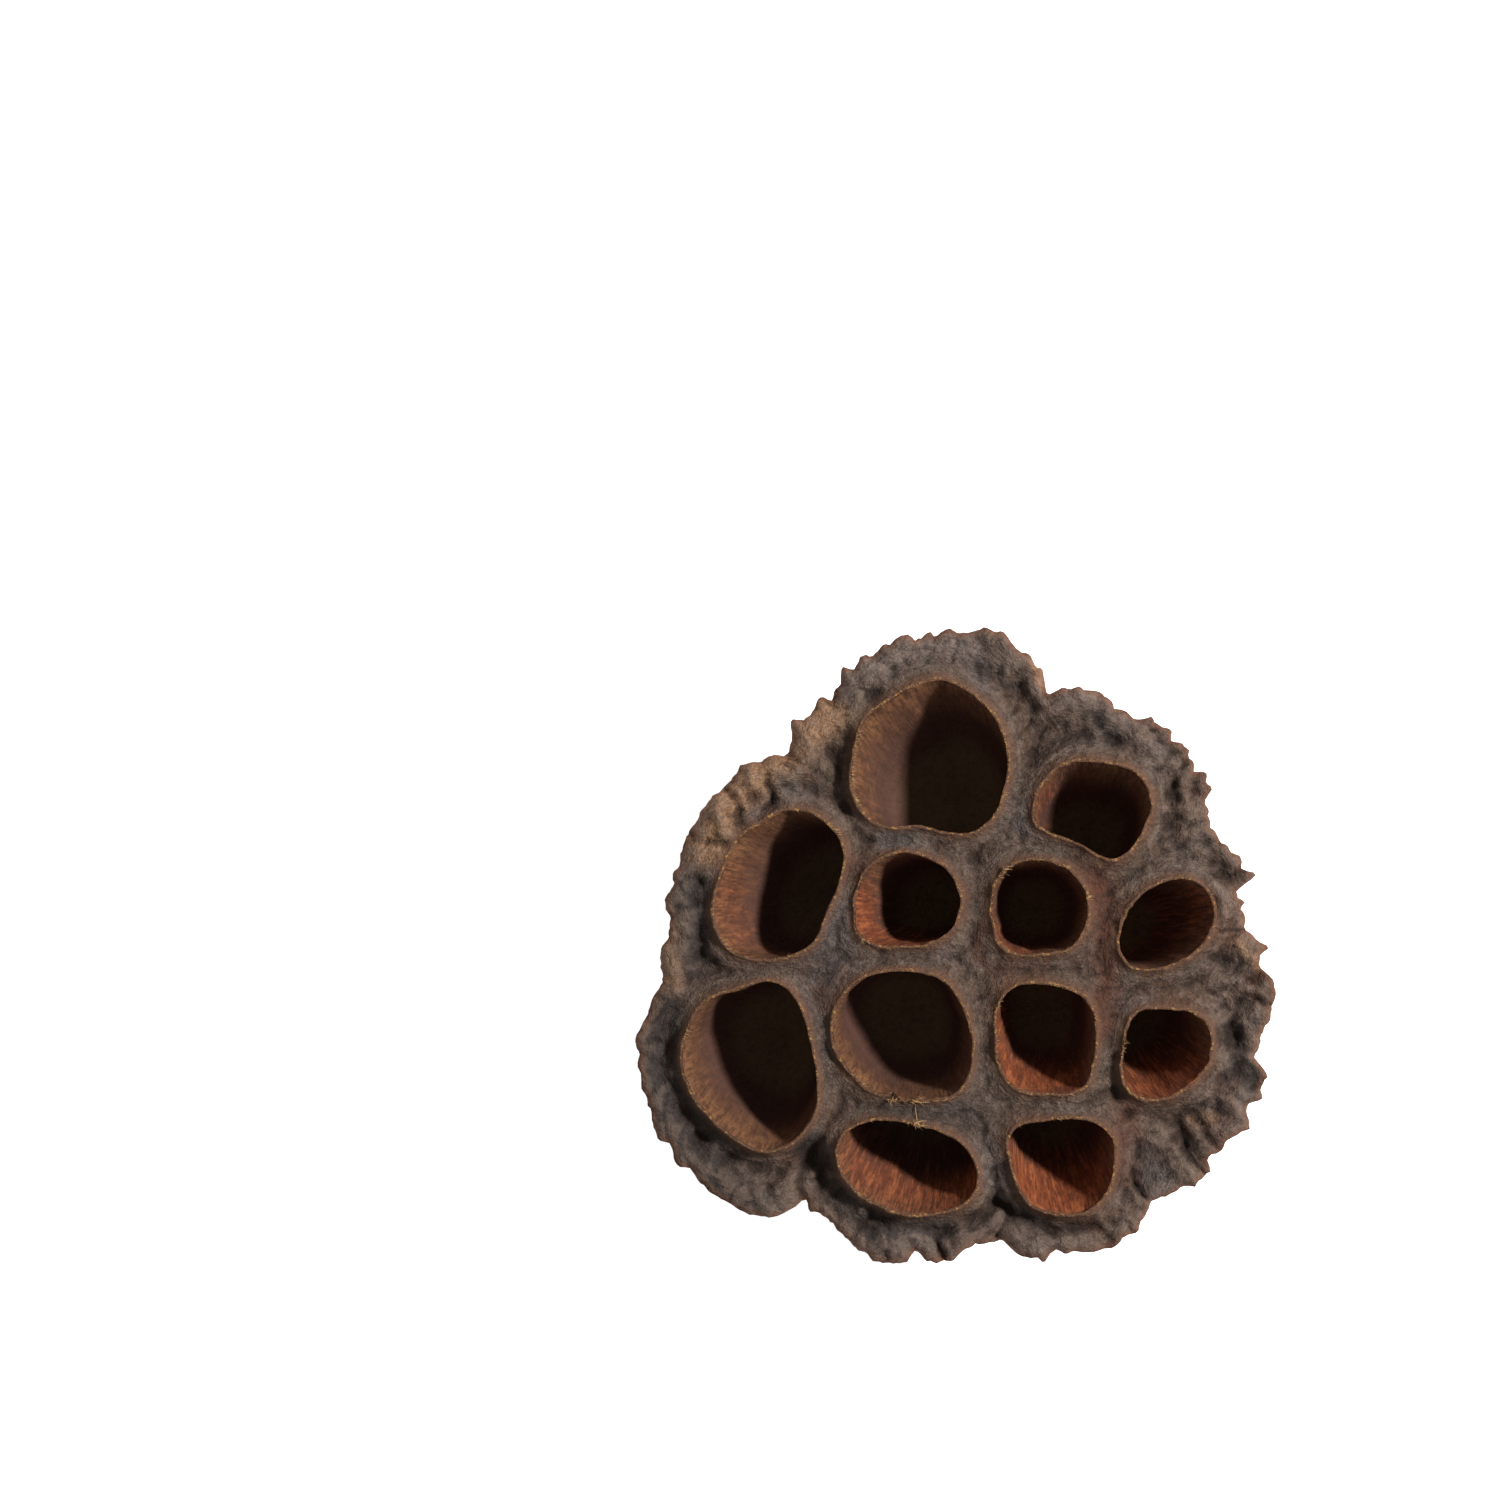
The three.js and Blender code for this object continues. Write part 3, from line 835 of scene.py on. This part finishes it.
def lining(node):
    """Papery cell wall: tan torn fibres under the lip, smooth mauve-brown parchment below."""
    even = {"cloud": (5, 3), "torn": (0.9, 2), "fleck": (0.9, 4), "glint": (0.45, 2)}
    m = masks(node, even, {"fibre": (0.3, 2), "band": (0.7, 3)}, ["depth", "lip", "ember"])
    near_lip = node("ShaderNodeMapRange", {
        "Value": m["depth"], "From Min": 6, "From Max": 0.6, "To Min": 0.25, "To Max": 0.75,
    })
    # Streaks that show only where the wall dried redder.
    for name, start, full in (("fibre", 0.46, 0.64), ("band", 0.5, 0.66)):
        streak = node("ShaderNodeMapRange", {"Value": m[name], "From Min": start, "From Max": full})
        m["ember " + name] = node("ShaderNodeMath", {0: streak, 1: m["ember"]}, operation="MULTIPLY")
    base = painted(node, m, "#7f5538", [
        ("depth", 1.8, 5, 1, "#6a4733"),
        ("ember", 0.1, 1, 0.9, "#843f20"),
        ("cloud", 0.45, 0.7, 0.45, "#5c3425"),
        ("fibre", 0.42, 0.6, near_lip, "#432a1d"),
        ("band", 0.52, 0.68, 0.3, "#9a6b45"),
        ("fleck", 0.55, 0.72, 0.3, "#3f2a20"),
        ("band", 0.48, 0.34, 0.45, "#38231a"),
        ("depth", 6, 11, 0.8, "#533830"),
        ("ember", 0.6, 1.3, 0.65, "#8d4a28"),
        ("ember fibre", 0, 1, 0.6, "#4c2417"),
        ("ember band", 0, 1, 0.75, "#ab6139"),
        # Painted light: the cell floor is lighter, standing in for light bounced down into the cell.
        ("depth", 14.6, 16.6, 0.9, "#67553a"),
        ("lip", 0.3, 0.9, 0.75, "#684a37"),
        ("torn", 0.5, 0.64, 0.3, "#3c2a20"),
        ("lip", 0.5, 0.85, straw_glints(node, m), "#bd8c50"),
    ])
    return base, [(m["fibre"], 0.16, 0.7), (m["fleck"], 0.1, 0.5)]


def pith(node):
    """Cut stalk: pale spongy pith between open air canals, browned by age."""
    m = masks(node, {"sponge": (0.5, 3), "stain": (4, 3)}, {}, ["rim"])
    base = painted(node, m, "#a08462", [
        ("sponge", 0.42, 0.62, 0.6, "#6d5138"),
        ("stain", 0.48, 0.64, 0.6, "#6b4a34"),
        ("rim", 0.2, 1, 0.85, "#4c362a"),
    ])
    return base, [(m["sponge"], 0.25, 0.9)]


def fibre(node):
    """Frayed lip fibre: dry bast threads, straw-coloured and slightly glossy."""
    m = masks(node, {"tone": (1.4, 2)}, {}, [])
    base = painted(node, m, "#9c7750", [("tone", 0.42, 0.6, 1, "#cfa871")])
    return base, [(m["tone"], 0.05, 0.3)]


def scar(node):
    """Stamen scar: corky rings, a little paler than the skin they sit on."""
    m = masks(node, {"cork": (0.6, 3), "tone": (5, 2)}, {}, [])
    base = painted(node, m, "#6f5340", [
        ("tone", 0.42, 0.6, 0.7, "#8b6b50"),
        ("cork", 0.5, 0.66, 0.6, "#3d2c22"),
    ])
    return base, [(m["cork"], 0.15, 0.7)]


MATERIALS = {
    "husk": finished("weathered_lotus_husk", husk, 0.9, 0.25),
    "lining": finished("papery_cell_lining", lining, 0.78, 0.3),
    "pith": finished("cut_stalk_pith", pith, 0.92, 0.2),
    "fibre": finished("frayed_lip_fibre", fibre, 0.6, 0.4),
    "scar": finished("corky_stamen_scar", scar, 0.88, 0.25),
}


# ---- The pod's object ----
def share_out_materials(mesh, depth):
    """Skin outside, lining in the cells, pith on the cut."""
    for name in ("husk", "lining", "pith"):
        mesh.materials.append(MATERIALS[name])
    starts = read(mesh.polygons, "loop_start", 1, np.int32)[:, 0]
    corner_depth = depth[read(mesh.loops, "vertex_index", 1, np.int32)[:, 0]]
    deepest = np.maximum.reduceat(corner_depth, starts)
    lowest = np.minimum.reduceat(corner_depth, starts)
    slots = np.where(deepest > 0.05, 1, np.where(lowest < -0.5, 2, 0))
    mesh.polygons.foreach_set("material_index", slots)
    mesh.shade_smooth()


def placed(name, data):
    """An object in the scene, at the origin until it is moved."""
    made = bpy.data.objects.new(name, data)
    bpy.context.scene.collection.objects.link(made)
    return made


def make_husk():
    """The pod itself, with the attributes that its materials read."""
    mesh, marks = plain_mesh("lotus_pod_husk", grow_surface())
    co = roughen(mesh, marks)
    outside = (np.abs(marks[:, 0]) < 0.05) * smoothstep(TOP - 7, TOP - 3.5, co[:, 2])
    cut_rim = smoothstep(STALK_RADIUS - 0.9, STALK_RADIUS, np.hypot(*co[:, :2].T))
    attributes = {
        "depth": marks[:, 0], "lip": marks[:, 1], "edge": marks[:, 2], "grain": marks[:, 3:6],
        # hollow and low carry painted shade into the husk's colour, and hollow also a painted highlight
        # on ridges.
        "hollow": hollowness(mesh, co),
        # How far the face lies below the lips, which the husk paints as shade.
        "low": (TOP - co[:, 2]) * outside,
        "ember": along_strokes(co[:, :2], EMBER),
        "rim": smoothstep(0.15, 0.5, co[:, 2]) + cut_rim,
    }
    for name, strokes in STAINS.items():
        attributes[name] = along_strokes(co[:, :2], strokes) * outside
    for name, values in attributes.items():
        set_attribute(mesh, name, values)
    share_out_materials(mesh, marks[:, 0])
    return placed("lotus_pod_husk", mesh)


# ---- Fibres and scars, grown by geometry nodes ----
def new_growth(name, sizes):
    """A geometry node tree, its helper, and its inputs: what it grows on, sizes and finish."""
    tree = bpy.data.node_groups.new(name, "GeometryNodeTree")
    sockets = {"Base": "Geometry", **sizes, "Seed": "Int", "Finish": "Material"}
    for label, kind in sockets.items():
        tree.interface.new_socket(label, in_out="INPUT", socket_type="NodeSocket" + kind)
    tree.interface.new_socket("Result", in_out="OUTPUT", socket_type="NodeSocketGeometry")
    node = partial(add_node, tree)
    return tree, node, node("NodeGroupInput").outputs


def end_growth(node, copies, finish):
    """Ends a tree: its copies made real, in their finish."""
    real = node("GeometryNodeRealizeInstances", {0: copies})
    dressed = node("GeometryNodeSetMaterial", {0: real, "Material": finish})
    node("NodeGroupOutput", {0: dressed})


def grown(name, base, tree, values):
    """Runs a tree on a mesh and keeps the result as a plain mesh."""
    carrier = placed(name + "_base", base)
    modifier = carrier.modifiers.new(name, "NODES")
    modifier.node_group = tree
    for item in tree.interface.items_tree:
        if item.in_out == "INPUT" and item.name in values:
            modifier[item.identifier] = values[item.name]
    bpy.context.view_layer.update()
    mesh = bpy.data.meshes.new_from_object(carrier.evaluated_get(bpy.context.evaluated_depsgraph_get()))
    mesh.name = name
    carrier.modifiers.clear()
    bpy.data.objects.remove(carrier)
    mesh.shade_smooth()
    return placed(name, mesh)


def fibre_tree():
    """Tapered, bent threads along an edge, leaning out the way the edge's attribute says."""
    sizes = dict.fromkeys(("Spacing", "Length", "Thickness"), "Float")
    tree, node, given = new_growth("lip_fibres", sizes)
    seeded = {"Seed": given["Seed"]}
    curve = node("GeometryNodeMeshToCurve", {0: given["Base"]})
    points = node("GeometryNodeCurveToPoints", {"Curve": curve, "Length": given["Spacing"]},
                  mode="LENGTH")
    frayed = node("GeometryNodeInputNamedAttribute", {"Name": "frayed"}, data_type="FLOAT")
    out = node("GeometryNodeInputNamedAttribute", {"Name": "outward"}, data_type="FLOAT_VECTOR")
    chance = node("FunctionNodeRandomValue", seeded, data_type="FLOAT").outputs[1]
    kept = node("FunctionNodeCompare", {0: chance, 1: frayed},
                data_type="FLOAT", operation="LESS_THAN")
    sway = node("FunctionNodeRandomValue", {0: (-1, -1, 0.1), 1: (1, 1, 1.1), **seeded},
                data_type="FLOAT_VECTOR")
    lean = node("ShaderNodeVectorMath", {0: out, 1: sway}, operation="ADD")
    turn = node("FunctionNodeAlignRotationToVector", {"Vector": lean}, axis="Z")
    thread = node("GeometryNodeMeshCone", {
        "Vertices": 4, "Side Segments": 4, "Radius Top": 0.00001, "Radius Bottom": given["Thickness"],
        "Depth": given["Length"],
    })
    # Each thread bends aside, more and more towards its tip.
    place = node("GeometryNodeInputPosition")
    height = node("ShaderNodeSeparateXYZ", {0: place}).outputs["Z"]
    share = node("ShaderNodeMath", {0: height, 1: given["Length"]}, operation="DIVIDE")
    squared = node("ShaderNodeMath", {0: share, 1: 2}, operation="POWER")
    bent = node("ShaderNodeMath", {0: squared, 1: given["Length"]}, operation="MULTIPLY")
    aside = node("ShaderNodeCombineXYZ", {"X": bent})
    curled = node("GeometryNodeSetPosition", {0: thread, "Offset": aside})
    size = node("FunctionNodeRandomValue", {2: 0.35, 3: 1.25, **seeded}, data_type="FLOAT")
    copies = node("GeometryNodeInstanceOnPoints", {
        "Points": points, "Selection": kept, "Instance": curled, "Rotation": turn,
        "Scale": size.outputs[1],
    })
    end_growth(node, copies, given["Finish"])
    return tree


def make_fibres():
    """Fibres that stand off the lips, thick only where a lip has frayed."""
    points, edges, outward, frayed = [], [], [], []
    for cell in CELLS:
        crest, out, ring = cell.mouth(LIP_EDGE), cell.mouth(1), cell.noise_ring()
        side = np.sign(perlin(ring, 1.1, 151) - 0.1)[:, None]
        sparse = 0.32 * smoothstep(0.1, 0.5, perlin(ring, 2.4, 153))
        first = len(points)
        points.extend(with_height(crest, TOP - 0.3) * MM)
        outward.extend(with_height((out - crest) * side, 0.3))
        frayed.extend(np.clip(sparse + tufted(crest, 0.9), 0, 1))
        edges.extend((first + i, first + (i + 1) % CELL_STEPS) for i in range(CELL_STEPS))
    base = bpy.data.meshes.new("lip_edges")
    base.from_pydata([tuple(p) for p in points], edges, [])
    set_attribute(base, "outward", np.array(outward))
    set_attribute(base, "frayed", np.array(frayed))
    return grown("lip_fibres", base, fibre_tree(), {
        "Spacing": 0.07 * MM, "Length": 0.9 * MM, "Thickness": 0.1 * MM, "Seed": 5,
        "Finish": MATERIALS["fibre"],
    })


def scar_tree():
    """Rings pressed onto a surface, in rows around the upright axis."""
    sizes = dict.fromkeys(("Rows", "Scars per Row"), "Int")
    sizes |= dict.fromkeys(("Lowest", "Row Gap", "Reach", "Scar Width"), "Float")
    tree, node, given = new_growth("stamen_scars", sizes)
    seeded = {"Seed": given["Seed"]}
    # Rows of places around the surface, each row turned and each place moved a little.
    start = node("ShaderNodeCombineXYZ", {"Z": given["Lowest"]})
    step = node("ShaderNodeCombineXYZ", {"Z": given["Row Gap"]})
    rows = node("GeometryNodeMeshLine",
                {"Count": given["Rows"], "Start Location": start, "Offset": step})
    ring = node("GeometryNodeMeshCircle",
                {"Vertices": given["Scars per Row"], "Radius": given["Reach"]})
    spin = node("FunctionNodeRandomValue", {0: (0, 0, 0), 1: (0, 0, 6.28), **seeded},
                data_type="FLOAT_VECTOR")
    rings = node("GeometryNodeInstanceOnPoints", {"Points": rows, "Instance": ring, "Rotation": spin})
    around = node("GeometryNodeRealizeInstances", {0: rings})
    astray = 0.7 * MM
    jitter = node("FunctionNodeRandomValue", {0: (-astray,) * 3, 1: (astray,) * 3, **seeded},
                  data_type="FLOAT_VECTOR")
    strewn = node("GeometryNodeSetPosition", {0: around, "Offset": jitter})
    # They drop inward onto the surface, whose slope is stored with them before they move.
    place = node("GeometryNodeInputPosition")
    inward = node("ShaderNodeVectorMath", {0: place, 1: (-1, -1, 0)}, operation="MULTIPLY")
    hit = node("GeometryNodeRaycast", {
        "Target Geometry": given["Base"], "Source Position": place, "Ray Direction": inward,
        "Ray Length": given["Reach"],
    }).outputs
    turn = node("FunctionNodeAlignRotationToVector", {"Vector": hit["Hit Normal"]}, axis="Z")
    turned = node("GeometryNodeStoreNamedAttribute",
                  {0: strewn, "Name": "upright", "Value": turn}, data_type="QUATERNION")
    landed = node("GeometryNodeSetPosition", {0: turned, "Position": hit["Hit Position"]})
    upright = node("GeometryNodeInputNamedAttribute", {"Name": "upright"}, data_type="QUATERNION")
    outline = node("GeometryNodeCurvePrimitiveCircle",
                   {"Resolution": 8, "Radius": given["Scar Width"]})
    wall = node("ShaderNodeMath", {0: given["Scar Width"], 1: 0.38}, operation="MULTIPLY")
    section = node("GeometryNodeCurvePrimitiveCircle", {"Resolution": 4, "Radius": wall})
    scar_ring = node("GeometryNodeCurveToMesh", {0: outline, 1: section})
    size = node("FunctionNodeRandomValue", {0: (0.7, 0.9, 0.5), 1: (1.1, 1.7, 0.9), **seeded},
                data_type="FLOAT_VECTOR")
    copies = node("GeometryNodeInstanceOnPoints",
                  {"Points": landed, "Instance": scar_ring, "Rotation": upright, "Scale": size})
    end_growth(node, copies, given["Finish"])
    return tree


def make_scars(husk_mesh):
    """The rings that the fallen stamens left around the neck."""
    return grown("stamen_scars", husk_mesh.copy(), scar_tree(), {
        "Rows": 5, "Scars per Row": 34, "Lowest": 3.4 * MM, "Row Gap": 1.15 * MM, "Reach": 20 * MM,
        "Scar Width": 0.34 * MM, "Seed": 11, "Finish": MATERIALS["scar"],
    })


def make_strand():
    """A silk thread stretched over the web from one frayed lip to the next."""
    places = on_face([(-5.9, -24.2), (-6.2, -25.4), (-5.7, -26.8), (-5.6, -28.3)])
    heights = np.maximum(face_height(Place(places)) + 0.25, TOP - 1.6)
    curve = bpy.data.curves.new("silk_strand", "CURVE")
    curve.dimensions = "3D"
    curve.bevel_depth = 0.035 * MM
    curve.bevel_resolution = 1
    spline = curve.splines.new("NURBS")
    spline.points.add(len(places) - 1)
    spline.use_endpoint_u = True
    spline.resolution_u = 6
    for point, (x, y), z in zip(spline.points, places, heights):
        point.co = (x * MM, y * MM, z * MM, 1)
    carrier = bpy.data.objects.new("strand_base", curve)
    mesh = bpy.data.meshes.new_from_object(carrier)
    bpy.data.objects.remove(carrier)
    mesh.name = "silk_strand"
    mesh.materials.append(MATERIALS["fibre"])
    return placed("silk_strand", mesh)


husk_piece = make_husk()
for piece in (husk_piece, make_fibres(), make_scars(husk_piece.data), make_strand()):
    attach(piece, "root")
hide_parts(NODE)


# ---- Floor, light and camera ----
FLOOR_HALF = 3.0  # metres
KEY_TOWARD = (22, 47)  # degrees round the pod and up
KEY_DISTANCE, KEY_SIZE, KEY_POWER = 0.8, 0.11, 8.7  # metres, metres and watts
CAMERA_MIDDLE = (-25.4, 24.4)  # what lies under the camera
CAMERA_ACROSS = 186.6  # what the camera sees at the height of the lips


def make_floor():
    mesh = bpy.data.meshes.new("floor")
    corners = [(x * FLOOR_HALF, y * FLOOR_HALF, 0) for x, y in ((-1, -1), (1, -1), (1, 1), (-1, 1))]
    mesh.from_pydata(corners, [], [(0, 1, 2, 3)])
    material = bpy.data.materials.new("pale_paper")
    material.use_nodes = True
    shader = material.node_tree.nodes["Principled BSDF"]
    shader.inputs["Base Color"].default_value = colour("#f4f4f4")
    shader.inputs["Roughness"].default_value = 0.9
    shader.inputs["Emission Color"].default_value = colour("#ffffff")
    shader.inputs["Emission Strength"].default_value = 0.85
    mesh.materials.append(material)
    placed("floor", mesh)


def make_key_light():
    data = bpy.data.lights.new("key", "AREA")
    data.shape = "DISK"
    data.size = KEY_SIZE
    data.energy = KEY_POWER
    key = placed("key", data)
    azimuth, elevation = (math.radians(a) for a in KEY_TOWARD)
    way = Vector((math.cos(elevation) * math.cos(azimuth), math.cos(elevation) * math.sin(azimuth),
                  math.sin(elevation)))
    key.location = Vector((0, 0, TOP * MM)) + way * KEY_DISTANCE
    key.rotation_euler = way.to_track_quat("Z", "Y").to_euler()


def make_camera():
    data = bpy.data.cameras.new("camera")
    data.lens = 135
    data.sensor_width = 36
    camera = placed("camera", data)
    height = TOP + CAMERA_ACROSS * data.lens / data.sensor_width
    camera.location = Vector((*CAMERA_MIDDLE, height)) * MM
    bpy.context.scene.camera = camera


def make_daylight():
    world = bpy.data.worlds.new("studio")
    world.use_nodes = True
    background = world.node_tree.nodes["Background"]
    background.inputs["Color"].default_value = (0.96, 0.97, 1, 1)
    background.inputs["Strength"].default_value = 0.29
    bpy.context.scene.world = world


make_floor()
make_key_light()
make_camera()
make_daylight()
bpy.context.scene.view_settings.view_transform = "Standard"
